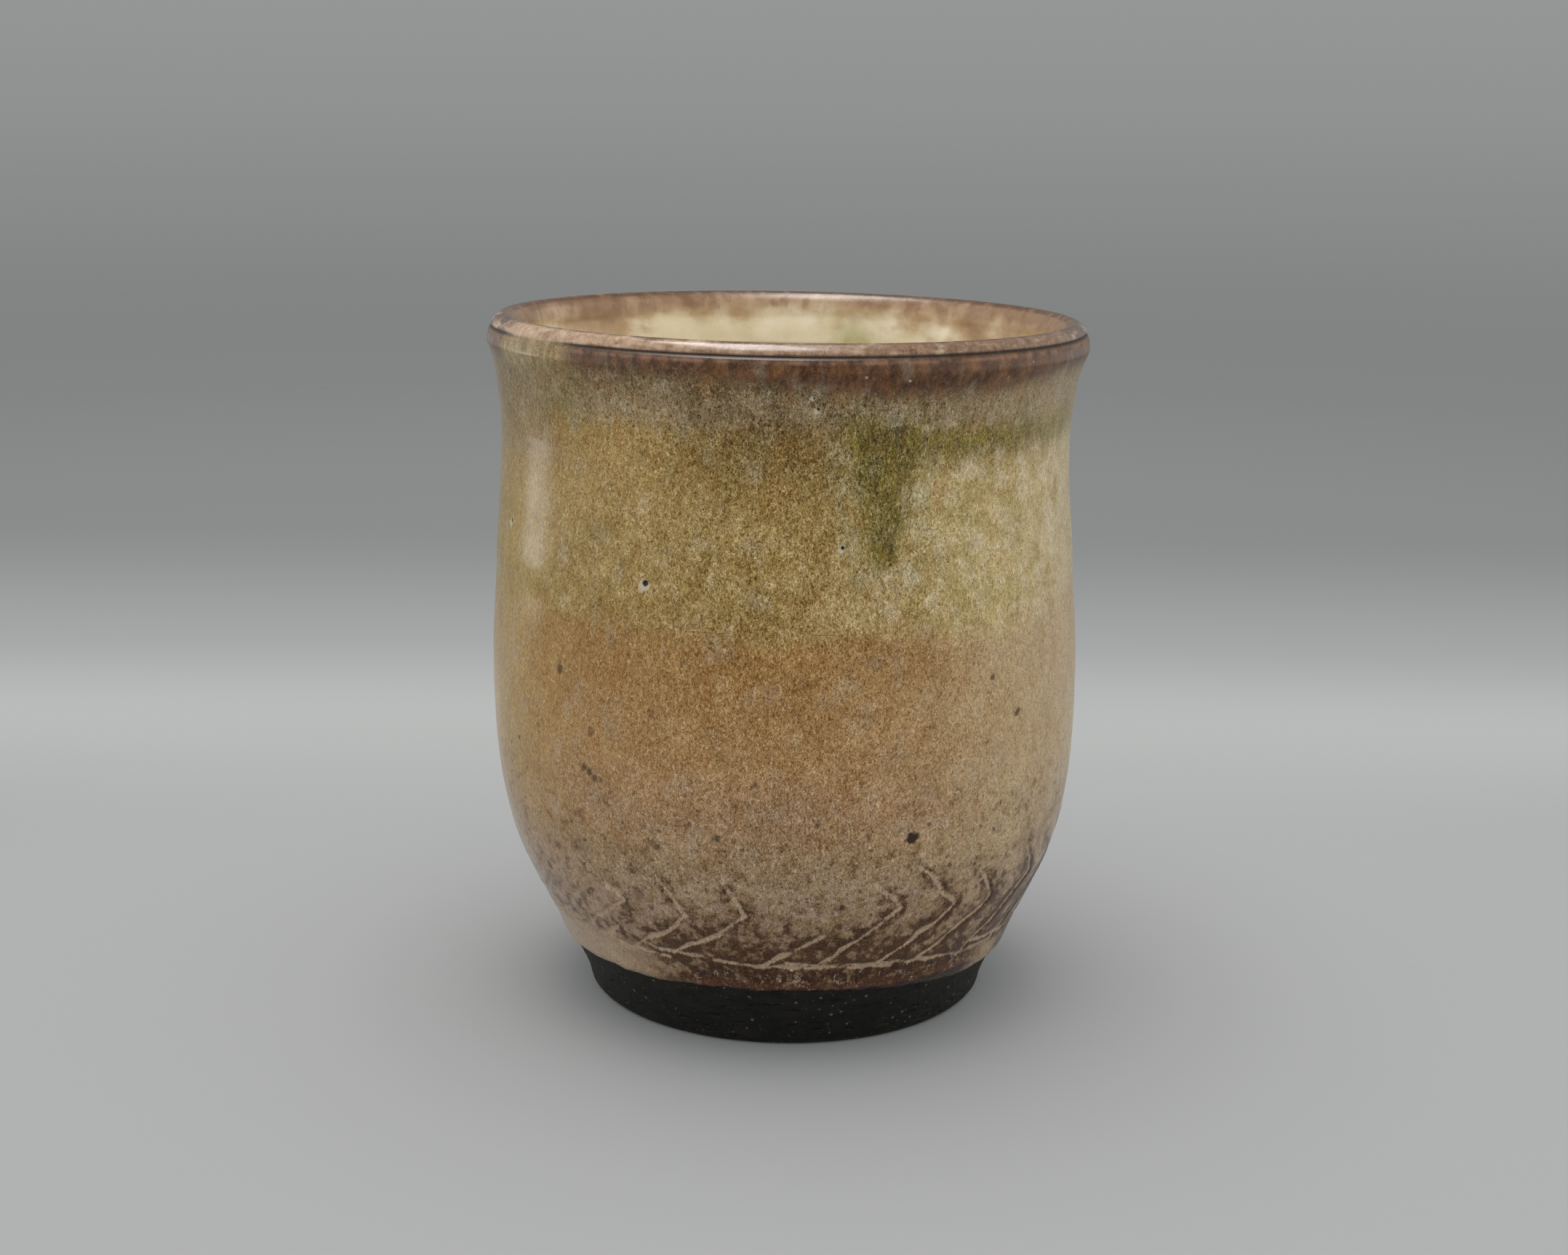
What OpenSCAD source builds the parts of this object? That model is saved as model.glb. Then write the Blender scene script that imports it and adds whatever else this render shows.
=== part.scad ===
// Yunomi tea cup: a wheel-thrown stoneware cup without a handle, standing on a turned foot ring.
// The clay is covered by thin glaze coats, and each coat is a solid that lies on the one under it.
// The origin is the centre of the foot's resting face, +Z is up and the front of the cup faces -Y.
// Lengths are in millimetres and angles in degrees.

/* [Cup] */
// Height from the table to the crest of the lip
cup_h = 90; // [75:0.5:110]

/* [Outline of the clay] */
// Diameter of the foot where it meets the table
foot_d = 53; // [48:0.5:58]
// Height of the bare foot, up to the glaze line
foot_h = 9; // [7:0.5:13]
// Diameter of the clay at the glaze line
foot_top_d = 60; // [56:0.5:66]
// Height of the hip, where the underside turns into the wall
hip_z = 21; // [17:0.5:28]
// Diameter of the clay at the hip
hip_d = 71; // [67:0.5:75]
// Height of the belly, the widest part of the wall
belly_z = 44; // [36:0.5:52]
// Diameter of the clay at the belly
belly_d = 76.2; // [72:0.2:86]
// Drop from the crest of the lip to the neck, the narrowest part of the wall
neck_drop = 14.5; // [9:0.5:24]
// Diameter of the clay at the neck
neck_d = 72.2; // [66:0.2:76]
// Diameter of the clay where the bead of the lip starts
lip_d = 77; // [70:0.2:86]
// Outward lean of the wall where it reaches the lip
lip_flare = 23; // [0:1:35]
// Height of the rounded bead, glaze included
bead_h = 3.5; // [2:0.1:5]

/* [Clay] */
// Thickness of the clay wall
wall_t = 3.3; // [2.4:0.1:4.5]
// Thickness of the clay floor above the foot ring
floor_t = 5.5; // [3.5:0.1:8]
// Squareness of the corner between wall and floor inside: 2 is an ellipse
well_squareness = 2.8; // [2:0.1:3.4]

/* [Foot ring] */
// Height of the foot ring
ring_h = 5; // [3.5:0.1:6.5]
// Width of the foot ring at the table
ring_w = 5.5; // [4:0.1:9]
// Lean of the recess wall towards its ceiling
recess_draft = 10; // [0:1:20]
// Rise of the recess ceiling towards its centre
recess_rise = 1; // [0.2:0.1:2]
// Bevel of the foot ring's two lower edges
ring_bevel = 0.7; // [0.2:0.1:1.2]

/* [Glaze coats] */
// Clearance between a coat and what it lies on
seat_gap = 0.02; // [0.01:0.01:0.04]
// Thickness of the base, rim and liner coats
coat_t = 0.45; // [0.35:0.05:0.8]
// Height of the slanted edge at which the base coat ends over the foot
coat_edge_h = 0.5; // [0.2:0.1:1]
// Drop from the crest to the lower edge of the rim coat, outside
rim_drop = 5.2; // [5.1:0.1:8]
// Drop from the crest to the lower edge of the rim coat, inside
rim_drop_inside = 5.6; // [5.1:0.1:8]
// Depth of the second dip, from the crest of the lip to its lower edge
dip_depth = 34; // [28:0.5:42]
// Thickness of the second dip
dip_t = 0.25; // [0.15:0.05:0.5]
// Length over which the second dip thins out at its edges
dip_feather = 4; // [2:0.5:6]
// Height of the fine groove above the start of the bead
groove_rise = 0.8; // [0.4:0.1:1.2]
// Depth of the fine groove
groove_depth = 0.28; // [0.1:0.02:0.3]

/* [Glaze run] */
// Turn of the run from the front of the cup, to the right
run_turn = 18; // [-180:1:180]
// Drop from the crest of the lip to the top of the run
run_drop = 9; // [8.5:0.5:14]
// Length of the run from its top to its tip
run_len = 16.5; // [8:0.5:19]
// Widest width of the run
run_w = 9; // [4:0.5:14]
// Slimness of the run's tail: 0 is an ellipse
run_slimness = 1.6; // [0:0.1:3]
// Thickness of the run on top of the second dip
run_t = 0.3; // [0.15:0.05:0.6]

/* [Hidden] */
$fn = 180;

// Longest step in height between two points of a wall curve
wall_step = 1.5;
// Turn between two points of the bead, the well and the run's outline
arc_step = 5;
// Points closer than this are one point
least_step = 0.001;

lip_z = cup_h - bead_h;
rim_z = cup_h - rim_drop;
rim_inside_z = cup_h - rim_drop_inside;
dip_z = cup_h - dip_depth;
floor_z = ring_h + floor_t;
bead_centre_r = lip_d / 2 - wall_t / 2;
recess_r = foot_d / 2 - ring_w;
recess_top_r = recess_r - ring_h * tan(recess_draft);
run_middle_z = cup_h - run_drop - run_len / 2;
// Share of the second dip's thickness that is left at its edges
thinnest_share = 0.3;

// Slope of a curve at its middle station, from the slopes to its two neighbours
function slope_between(before, here, after) =
    let (gap_below = here[0] - before[0], gap_above = after[0] - here[0])
    let (rise_below = (here[1] - before[1]) / gap_below, rise_above = (after[1] - here[1]) / gap_above)
    (gap_below * rise_above + gap_above * rise_below) / (gap_below + gap_above);

// Stations of the clay's outside: height and radius
foot = [0, foot_d / 2];
foot_top = [foot_h, foot_top_d / 2];
hip = [hip_z, hip_d / 2];
belly = [belly_z, belly_d / 2];
neck = [cup_h - neck_drop, neck_d / 2];
lip = [lip_z, lip_d / 2];

// The same stations with their slopes: upright at the foot, the belly and the neck
stations = [
    [foot, 0],
    [foot_top, slope_between(foot, foot_top, hip)],
    [hip, slope_between(foot_top, hip, belly)],
    [belly, 0],
    [neck, 0],
    [lip, tan(lip_flare)]
];

// Radius at height z on the cubic that joins two stations with their slopes
function cubic_r(z, low, high) =
    let (gap = high[0][0] - low[0][0], t = (z - low[0][0]) / gap)
    let (blend = t * t * (3 - 2 * t))
    low[0][1] * (1 - blend) + high[0][1] * blend
        + gap * t * (1 - t) * (low[1] * (1 - t) - high[1] * t);

// Number of the span between two stations that holds height z
function span_at(z, i = 0) =
    i == len(stations) - 2 || z < stations[i + 1][0][0] ? i : span_at(z, i + 1);

// Radii at height z, from the clay outwards and inwards
function clay_r(z) = let (i = span_at(z)) cubic_r(z, stations[i], stations[i + 1]);
function base_r(z) = clay_r(z) + coat_t;
function dip_share(z) = max(thinnest_share, min(1, (z - dip_z) / dip_feather, (rim_z - z) / dip_feather));
function dip_r(z) = base_r(z) + dip_t * dip_share(z);
function run_r(z) = dip_r(z) + run_t;
function inner_r(z) = clay_r(z) - wall_t;
function liner_r(z) = inner_r(z) - coat_t;

// Heights from one edge to the next, in equal steps, so that coats that touch share their points
function heights(low, high) =
    let (steps = max(1, ceil((high - low) / wall_step)))
    [for (k = [0:steps]) low + (high - low) * k / steps];

ring_heights = heights(ring_bevel, ring_h);
foot_heights = heights(ring_h, foot_h);
base_heights = heights(foot_h + coat_edge_h, dip_z);
dip_heights = heights(dip_z, rim_z);
rim_heights = heights(rim_z, lip_z);
rim_inside_heights = heights(rim_inside_z, lip_z);
liner_heights = heights(belly_z, rim_inside_z);

function reversed(list) = [for (k = [len(list) - 1:-1:0]) list[k]];

// Points of the rounded bead from the outside over the crest to the inside, grown by a coat
function bead(coat) = [
    for (turn = [0:arc_step:180])
        [bead_centre_r + (wall_t / 2 + coat) * cos(turn), lip_z + (bead_h - coat_t + coat) * sin(turn)]
];

// Points of the well from the belly down to the centre of the floor, lined by a coat
function well(coat) =
    let (r = inner_r(belly_z) - coat, depth = belly_z - floor_z - coat, power = 2 / well_squareness)
    [for (turn = [0:arc_step:90]) [r * pow(cos(turn), power), belly_z - depth * pow(sin(turn), power)]];

// Points of the recess ceiling from the centre outwards
recess_ceiling = [
    for (turn = [0:arc_step * 2:90])
        [recess_top_r * sin(turn), ring_h + recess_rise * cos(turn)]
];

// Outside of the clay from the foot ring's top to the lip
clay_outside = concat(
    [for (z = foot_heights) [clay_r(z), z]],
    [for (z = base_heights) [clay_r(z), z]],
    [for (z = dip_heights) [clay_r(z), z]],
    [for (z = rim_heights) [clay_r(z), z]]
);

// Inside of the clay from the lip to the belly
clay_inside = concat(
    [for (z = reversed(rim_inside_heights)) [inner_r(z), z]],
    [for (z = reversed(liner_heights)) [inner_r(z), z]]
);

// Outline of the run from its tip round to its tip again, as a drop that hangs from its wide end
function drop_share(turn) = sin(turn) * pow(sin(turn / 2), run_slimness);
run_widest_turn = 2 * atan(sqrt(run_slimness + 1));
run_outline = [
    for (turn = [0:arc_step:360 - arc_step])
        [
            run_w / 2 * drop_share(turn) / drop_share(run_widest_turn),
            run_middle_z - run_len / 2 * cos(turn)
        ]
];

// Points of an outline, with one point where two stretches meet
function without_repeats(points) = [
    for (k = [0:len(points) - 1])
        if (k == 0 || norm(points[k] - points[max(0, k - 1)]) > least_step) points[k]
];

// Solid of revolution of a closed outline
module turned(outline) {
    rotate_extrude() polygon(without_repeats(outline));
}

// Thrown wall, floor and lip
module clay_body() {
    color("#3a3430") turned(concat(recess_ceiling, clay_outside, bead(0), clay_inside, well(0)));
}

// Foot ring, left bare: bevelled at its lower edges, with a recess that leans in
module foot_ring() {
    bevel_top_r = recess_r - ring_bevel * tan(recess_draft);
    color("#23221f") turned(concat(
        [[recess_r + ring_bevel, 0], [foot_d / 2 - ring_bevel, 0]],
        [for (z = ring_heights) [clay_r(z), z]],
        [[recess_top_r, ring_h], [bevel_top_r, ring_bevel]]
    ));
}

// Base coat on the outside, from a slanted edge over the foot up to the rim coat
module base_glaze() {
    wall_heights = concat(base_heights, dip_heights);
    color("#a5895f") turned(concat(
        [for (z = wall_heights) [base_r(z), z]],
        [for (z = reversed(wall_heights)) [clay_r(z) + seat_gap, z]],
        [[clay_r(foot_h) + seat_gap, foot_h]]
    ));
}

// Second dip over the upper half of the base coat, thinning out at both edges
module upper_glaze() {
    color("#9c8b4e") turned(concat(
        [for (z = dip_heights) [dip_r(z), z]],
        [for (z = reversed(dip_heights)) [base_r(z) + seat_gap, z]]
    ));
}

// Rim coat over the lip, with a fine groove under the bead
module rim_glaze() {
    groove_turn = asin(groove_rise / bead_h);
    groove_r = bead_centre_r + (wall_t / 2 + coat_t) * cos(groove_turn);
    color("#6e4a35") difference() {
        turned(concat(
            [for (z = rim_heights) [base_r(z), z]],
            bead(coat_t),
            [for (z = reversed(rim_inside_heights)) [liner_r(z), z]],
            [for (z = rim_inside_heights) [inner_r(z) - seat_gap, z]],
            reversed(bead(seat_gap)),
            [for (z = reversed(rim_heights)) [clay_r(z) + seat_gap, z]]
        ));
        rotate_extrude() translate([groove_r, lip_z + groove_rise]) circle(r = groove_depth);
    }
}

// Liner coat on the inside, from the rim coat down over the floor
module liner_glaze() {
    color("#d8cda4") turned(concat(
        [for (z = reversed(liner_heights)) [inner_r(z) - seat_gap, z]],
        well(seat_gap),
        reversed(well(coat_t)),
        [for (z = liner_heights) [liner_r(z), z]]
    ));
}

// Run of thick glaze down the front of the second dip
module glaze_run() {
    color("#5f5e2a") intersection() {
        turned(concat(
            [for (z = dip_heights) [run_r(z), z]],
            [for (z = reversed(dip_heights)) [dip_r(z) + seat_gap, z]]
        ));
        // Reaches from the axis of the cup out through its wall
        rotate([0, 0, run_turn]) rotate([90, 0, 0]) linear_extrude(height = neck_d) polygon(run_outline);
    }
}

clay_body();
foot_ring();
base_glaze();
upper_glaze();
rim_glaze();
liner_glaze();
glaze_run();
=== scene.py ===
import math

import bmesh
import bpy
import numpy as np
from mathutils import Matrix, Vector, noise


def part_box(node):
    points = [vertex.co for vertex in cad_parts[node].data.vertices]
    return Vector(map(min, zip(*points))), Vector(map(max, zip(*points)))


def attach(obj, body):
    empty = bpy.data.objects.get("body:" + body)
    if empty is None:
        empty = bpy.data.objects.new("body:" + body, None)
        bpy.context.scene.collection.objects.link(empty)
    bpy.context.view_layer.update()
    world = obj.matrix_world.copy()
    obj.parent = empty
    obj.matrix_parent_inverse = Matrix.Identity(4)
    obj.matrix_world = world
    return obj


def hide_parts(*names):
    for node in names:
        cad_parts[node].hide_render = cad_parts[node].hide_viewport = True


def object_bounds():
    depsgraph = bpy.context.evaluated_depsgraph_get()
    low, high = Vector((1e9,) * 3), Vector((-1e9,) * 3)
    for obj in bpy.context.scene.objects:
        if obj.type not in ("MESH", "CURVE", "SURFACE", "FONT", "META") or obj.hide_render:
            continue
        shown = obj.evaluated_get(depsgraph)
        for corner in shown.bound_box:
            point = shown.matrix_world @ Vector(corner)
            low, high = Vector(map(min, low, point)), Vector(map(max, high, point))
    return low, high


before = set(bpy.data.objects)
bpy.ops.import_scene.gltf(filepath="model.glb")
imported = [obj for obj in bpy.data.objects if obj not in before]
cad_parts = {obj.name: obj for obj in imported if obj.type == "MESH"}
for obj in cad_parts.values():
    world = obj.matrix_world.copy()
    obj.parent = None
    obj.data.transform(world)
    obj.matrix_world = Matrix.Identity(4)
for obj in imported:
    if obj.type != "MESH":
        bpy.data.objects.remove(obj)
cad_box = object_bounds()

MM = 0.001
CUP_H = cad_box[1].z / MM

# Columns round the glazed wall, and round the foot, the rim and the liner
WALL_COLUMNS = 840
FOOT_COLUMNS = 640
# Spacing of the rows: carved wall, second dip, plain belly, rim, liner, foot and hidden stretches
FINE_STEP = 0.3
PLAIN_STEP = 0.3
BELLY_STEP = 1.6
RIM_STEP = 0.14
LINER_STEP = 0.9
FOOT_STEP = 0.19
HIDDEN_STEP = 5.0
# A thin coat's edge lies this far over what it covers
SKIN_LIFT = 0.012
# Points along and across the glaze run, and how far it stands out
RUN_ROWS = 81
RUN_COLUMNS = 41
RUN_SWELL = 0.2
# The rim coat's skin drapes this far below its solid's edges
RIM_DRAPE = 1.6
# Edges sharper than this keep a crease
CREASE = 40
# Power that takes a screen value to a linear one
SRGB_GAMMA = 2.2
# Share of the texture map that goes to the hidden side of a piece
HIDDEN_MAP_SHARE = 0.05

# The potter's hand: the wall sways sideways, shows its throwing rings and tips at the lip
SWAY = 0.37
SWAY_PERIOD = 128
RING_SWELL = 0.012
RING_PITCH = 6.5
LUMP_SWELL = 0.12
LUMP_SIZE = 34
LIP_DROP = 0.5
LIP_SHRINK = 0.25
LIP_FROM = 78

# The carved lines above the foot: a ring, and strokes that rise from it and fold back
STROKES = 27
FIRST_TIP = 23
STROKE_PITCH = 12.67
TIP_Z = 20.3
ARM_RISE = 5.0
LOWER_ARM_TURN = 16.5
UPPER_ARM_TURN = 7.2
WORN_ARMS = (4, 9, 13, 17, 21, 22)
RING_STROKES = 9
RING_STROKE_SPAN = 58
RING_STROKE_LEAN = 0.55
RING_STROKE_FAINT = 0.04
SHORT_STROKES = [(-6.3, 8.0, 17.5), (-43, -35, 17.0), (112, 124, 17.2), (206, 219, 17.6)]
RING_LINE_Z = 12.8
RING_LINE_SWING = 1.4
LINE_HALF_W = 0.42
LINE_DEPTH = 0.22
LINE_WANDER = 0.6
BURR = 0.05
HALO_W = 1.4
HAND_R = 34
CARVED_TOP = 31
MM_PER_DEGREE = 0.6

# Tears and grit in the bare clay, and the pit and ring of a burst bubble
TEAR_DEPTH = 0.16
GRIT_H = 0.03
PIT_DEPTH = 0.16
PIT_RING_H = 0.03
# Burst bubbles in the glaze: turn, height and radius
PINHOLES = [(-25.5, 61.2, 0.32), (10.5, 66.2, 0.2), (5.5, 82.3, 0.18), (4.6, 83.6, 0.12), (-66, 65, 0.25)]
# Iron specks that stand out in the base coat: turn, height and radius
SPECKS = [
    (24, 30.5, 0.8), (-39, 37.5, 0.5), (-37.8, 37, 0.55), (-36.6, 36.4, 0.5), (-35.2, 36.3, 0.4),
    (-5, 38, 0.5), (-45, 49, 0.6), (41, 49, 0.5), (48, 44, 0.6), (6, 33, 0.5), (-12, 31, 0.55),
    (33, 36, 0.4), (-24, 29, 0.5), (-11, 24.5, 0.5), (-30, 25, 0.45), (43, 29.5, 0.4), (55, 34, 0.4),
    (14, 38, 0.4), (-52, 41, 0.4),
]

# The glaze's rolled edge over the foot
ROLL_SWELL = 0.16
ROLL_H = 0.7
EDGE_WAVE = 0.22
EDGE_NIBBLE = 0.2
EDGE_DROP = 0.3
EDGE_SIDE_DROP = 1.9
EDGE_TILT = 0.6

# The fine groove under the bead of the lip, closer to the crest on the right
GROOVE_DROP = 1.5
GROOVE_SWING = 0.1
GROOVE_HALF_W = 0.2
GROOVE_DEPTH = 0.26
# Where glaze has filled the groove: turn, half width and share
FILLED_TURN = -53
FILLED_HALF_W = 9
FILLED_SHARE = 0.92

# The studio: strengths of the air's light, watts of the lamps, and the camera in metres and degrees
AIR_EVEN = 0.8
AIR_SIDES = 0.3
GLEAM_EVEN = 0.25
GLEAM_SIDES = 0.8
TOP_WATTS = 1.6
PANEL_WATTS = 4.6
CARD_WATTS = 0.05
FLOOR_REACH = 1200
FLOOR_HOLE_R = 24
CAMERA_PLACE = (0, -0.290, 0.1157)
CAMERA_PITCH = 13.11
CAMERA_ROLL = 0.69
CAMERA_YAW = 0.06
CAMERA_LENS = 51.29


def smooth(value, start, end):
    """0 at start, 1 at end and an even S between them."""
    t = np.clip((value - start) / (end - start), 0, 1)
    return t * t * (3 - 2 * t)


def lumps(points, size, octaves=2):
    """Noise from about -1 to 1 at points in mm, with lumps of the given size."""
    places = (points.reshape(-1, 3) / size).tolist()
    values = [noise.fractal(p, 1.0, 2.0, octaves) for p in places]
    return np.array(values).reshape(points.shape[:-1])


# Reading the frame


def section(node):
    """A turned node's half section, counter-clockwise (r, z) points read along its seam. It is a
    loop without a repeated point, or a line from its lower to its upper point on the axis."""
    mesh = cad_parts[node].data
    places = np.empty(len(mesh.vertices) * 3, np.float32)
    mesh.vertices.foreach_get("co", places)
    places = places.reshape(-1, 3) / MM
    seam = (np.abs(places[:, 1]) < 0.001) & (places[:, 0] > -0.001)
    edges = np.empty(len(mesh.edges) * 2, np.int32)
    mesh.edges.foreach_get("vertices", edges)
    edges = edges.reshape(-1, 2)
    keys = [tuple(p) for p in np.round(places[:, [0, 2]].astype(float), 3).tolist()]
    links = {}
    for a, b in edges[seam[edges].all(1)].tolist():
        if keys[a] != keys[b]:
            links.setdefault(keys[a], set()).add(keys[b])
            links.setdefault(keys[b], set()).add(keys[a])
    ends = [key for key in links if len(links[key]) == 1]
    here = min(ends or links, key=lambda key: (key[1], key[0]))
    line = [here]
    while links[here]:
        after = links[here].pop()
        links[after].discard(here)
        line.append(after)
        here = after
    line = np.array(line if ends else line[:-1])
    r, z = line.T
    area = np.sum(r * np.roll(z, -1) - np.roll(r, -1) * z)
    return line if area > 0 else line[::-1]


def corner(line, z, side):
    """Index of the point at height z that lies furthest out (side 1) or in (side -1)."""
    level = np.flatnonzero(np.abs(line[:, 1] - z) < 0.002)
    return level[(side * line[level, 0]).argmax()]


def span(line, start, end):
    """The points from one index on to another, round the loop."""
    rolled = np.roll(line, -start, 0)
    return rolled[:(end - start) % len(line) + 1]


def traced(points, step, soften=0.0):
    """The line through (r, z) points at even steps, with its corners rounded over a length."""
    gaps = np.linalg.norm(np.diff(points, axis=0), axis=1)
    along = np.concatenate([[0], np.cumsum(gaps)])
    count = max(2, round(along[-1] / step) + 1)
    at = np.linspace(0, along[-1], count)
    line = np.stack([np.interp(at, along, points[:, k]) for k in (0, 1)], 1)
    reach = round(soften / step)
    if reach < 1 or reach >= count:
        return line
    before = 2 * line[0] - line[reach:0:-1]
    after = 2 * line[-1] - line[-2:-reach - 2:-1]
    padded = np.concatenate([before, line, after])
    window = np.hanning(2 * reach + 3)[1:-1]
    window /= window.sum()
    return np.stack([np.convolve(padded[:, k], window, "valid") for k in (0, 1)], 1)


def radius_at(points, z):
    """Radius at height z on a stretch that never turns back in height."""
    order = np.argsort(points[:, 1])
    return np.interp(z, points[order, 1], points[order, 0])


# The thrown form


def turns(columns):
    return np.linspace(-180, 180, columns, endpoint=False)


def round_axis(angle, r, z):
    """Places at angles round the axis, from even radii and heights."""
    return np.stack([r * np.sin(angle), -r * np.cos(angle), z], -1)


def thrown(turn, r, z):
    """Places on the cup, in mm, from turns in degrees and true radii and heights."""
    angle = np.radians(turn)
    wall = smooth(z, 8, 16) * smooth(z, CUP_H, LIP_FROM)
    spiral = np.sin(2 * np.pi * (z / RING_PITCH) + angle)
    off_axis = smooth(r, 0, 20)
    lumpy = lumps(round_axis(angle, r, z), LUMP_SIZE)
    swell = off_axis * wall * (RING_SWELL * spiral + LUMP_SWELL * lumpy)
    lip = smooth(z, LIP_FROM, CUP_H - 4)
    r = r + swell - LIP_SHRINK * lip * np.clip(r / 30, 0, 1)
    sway = SWAY * np.cos(2 * np.pi * z / SWAY_PERIOD) * off_axis
    drop = LIP_DROP * lip * (1 + np.sin(angle)) / 2
    return np.stack([r * np.sin(angle) + sway, -r * np.cos(angle), z - drop], -1)


# Building meshes


def turned_mesh(name, rings, weights, closed, marks):
    """A mesh from rings of places in mm. The weights share out the texture map along the section.
    A ring that lies on the axis becomes one point, and marks are values that ride on the points."""
    rows, columns = rings.shape[:2]
    here = np.arange(columns)
    after = np.roll(here, -1)
    spans = rows if closed else rows - 1
    v = np.concatenate([[0], np.cumsum(weights)])
    v = 0.002 + 0.996 * v / v[-1]
    u_here = here / columns
    u_after = u_here + 1 / columns
    faces = []
    corners = []
    for row in range(spans):
        low, high = row * columns, (row + 1) % rows * columns
        quads = np.stack([low + here, low + after, high + after, high + here], 1)
        lows, highs = np.full(columns, v[row]), np.full(columns, v[row + 1])
        spots = np.stack([u_here, lows, u_after, lows, u_after, highs, u_here, highs], 1)
        faces.append(quads)
        corners.append(spots)
    mesh = bpy.data.meshes.new(name)
    quads = np.concatenate(faces)
    mesh.from_pydata(rings.reshape(-1, 3) * MM, [], quads.tolist())
    layer = mesh.uv_layers.new(name="OFBake")
    layer.data.foreach_set("uv", np.concatenate(corners).astype(np.float32).ravel())
    for mark, values in marks.items():
        field = mesh.attributes.new(mark, "FLOAT", "POINT")
        field.data.foreach_set("value", values.astype(np.float32).ravel())
    return finished_mesh(mesh, columns)


def finished_mesh(mesh, columns):
    """Smooth shading with creases, and one point for an end ring that is shrunk to a point."""
    build = bmesh.new()
    build.from_mesh(mesh)
    build.verts.ensure_lookup_table()
    ends = build.verts[:columns] + build.verts[-columns:]
    bmesh.ops.remove_doubles(build, verts=ends, dist=0.01 * MM)
    build.to_mesh(mesh)
    build.free()
    mesh.polygons.foreach_set("use_smooth", [True] * len(mesh.polygons))
    mesh.set_sharp_from_angle(angle=math.radians(CREASE))
    mesh.update()
    return mesh


def placed(name, data):
    """A new object in the scene."""
    made = bpy.data.objects.new(name, data)
    bpy.context.scene.collection.objects.link(made)
    return made


def add_piece(name, mesh, material, node):
    """Puts a mesh in the scene in the place of a node, on its body and with its slot."""
    piece = placed(name, mesh)
    mesh.materials.append(material)
    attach(piece, "root")
    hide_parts(node)


def coat_mesh(name, visible, hidden, columns, relief, closed=True):
    """A turned piece with a visible stretch, which gets a relief, and a hidden stretch."""
    turn = turns(columns)[None, :]
    r = np.repeat(visible[:, :1], columns, 1)
    z = np.repeat(visible[:, 1:], columns, 1)
    r, z, marks = relief(turn, r, z)
    under_r = np.repeat(hidden[:, :1], columns, 1)
    under_z = np.repeat(hidden[:, 1:], columns, 1)
    all_r = np.concatenate([r, under_r])
    all_z = np.concatenate([z, under_z])
    rings = thrown(np.broadcast_to(turn, all_r.shape), all_r, all_z)
    blank = np.zeros(under_r.shape)
    marks = {mark: np.concatenate([values, blank]) for mark, values in marks.items()}
    steps = np.linalg.norm(np.diff(np.concatenate([visible, hidden]), axis=0), axis=1)
    shown = len(visible) - 1
    steps[shown:] *= HIDDEN_MAP_SHARE
    if closed:
        steps = np.append(steps, HIDDEN_MAP_SHARE)
    return turned_mesh(name, rings, steps, closed, marks)


# Carved lines


def stroke_line(k):
    """Points (turn, z) of one stroke: from the ring line up to its tip, and back up to its end."""
    tip = FIRST_TIP + k * STROKE_PITCH + 1.2 * math.sin(2.3 * k)
    tip_z = TIP_Z + 0.7 * math.sin(1.9 * k + 1)
    foot_turn = tip - LOWER_ARM_TURN + math.sin(3.1 * k)
    end_turn = tip - UPPER_ARM_TURN - 3 * math.sin(1.9 * k - 0.4)
    end_z = tip_z + ARM_RISE + 1.3 * math.sin(1.6 * k - 0.8)
    t = np.linspace(0, 1, 7)[:, None]
    foot = np.array([foot_turn, ring_line_z(foot_turn)])
    bow = np.array([tip - 5.5, tip_z - 3.4])
    knee = np.array([tip, tip_z])
    end = np.array([end_turn, end_z])
    lower = (1 - t) ** 2 * foot + 2 * t * (1 - t) * bow + t * t * knee
    upper = knee + (end - knee) * t[1:]
    return np.concatenate([lower, upper])


def ring_line_z(turn):
    return RING_LINE_Z - RING_LINE_SWING * np.sin(np.radians(turn))


def ring_stroke_line(k):
    """Points (turn, z) of one of the slanting strokes that overlap to make the ring line."""
    t = np.linspace(0, 1, 9)
    turn = 360 / RING_STROKES * k + RING_STROKE_SPAN * t + 8 * math.sin(1.7 * k)
    lean = RING_STROKE_LEAN * (1 - 2 * t) * (1 + 0.4 * math.sin(2.1 * k))
    return np.stack([turn, ring_line_z(turn) + lean], 1)


def short_stroke_line(start_turn, end_turn, end_z):
    """Points (turn, z) of a stroke that rises from the ring line and ends without folding back."""
    t = np.linspace(0, 1, 5)
    start_z = ring_line_z(start_turn)
    return np.stack([start_turn + (end_turn - start_turn) * t, start_z + (end_z - start_z) * t ** 1.2], 1)


def gap_to_line(turn, z, line):
    """Distance in mm from places on the wall to a line of (turn, z) points."""
    across = ((turn - line[0, 0] + 180) % 360 - 180) * MM_PER_DEGREE
    points = np.stack([(line[:, 0] - line[0, 0]) * MM_PER_DEGREE, line[:, 1]], 1)
    least = np.full(np.broadcast(across, z).shape, 1e9)
    for start, end in zip(points[:-1], points[1:]):
        way = end - start
        share = ((across - start[0]) * way[0] + (z - start[1]) * way[1]) / (way @ way)
        share = np.clip(share, 0, 1)
        gap = np.hypot(across - start[0] - share * way[0], z - start[1] - share * way[1])
        least = np.minimum(least, gap)
    return least


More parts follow.
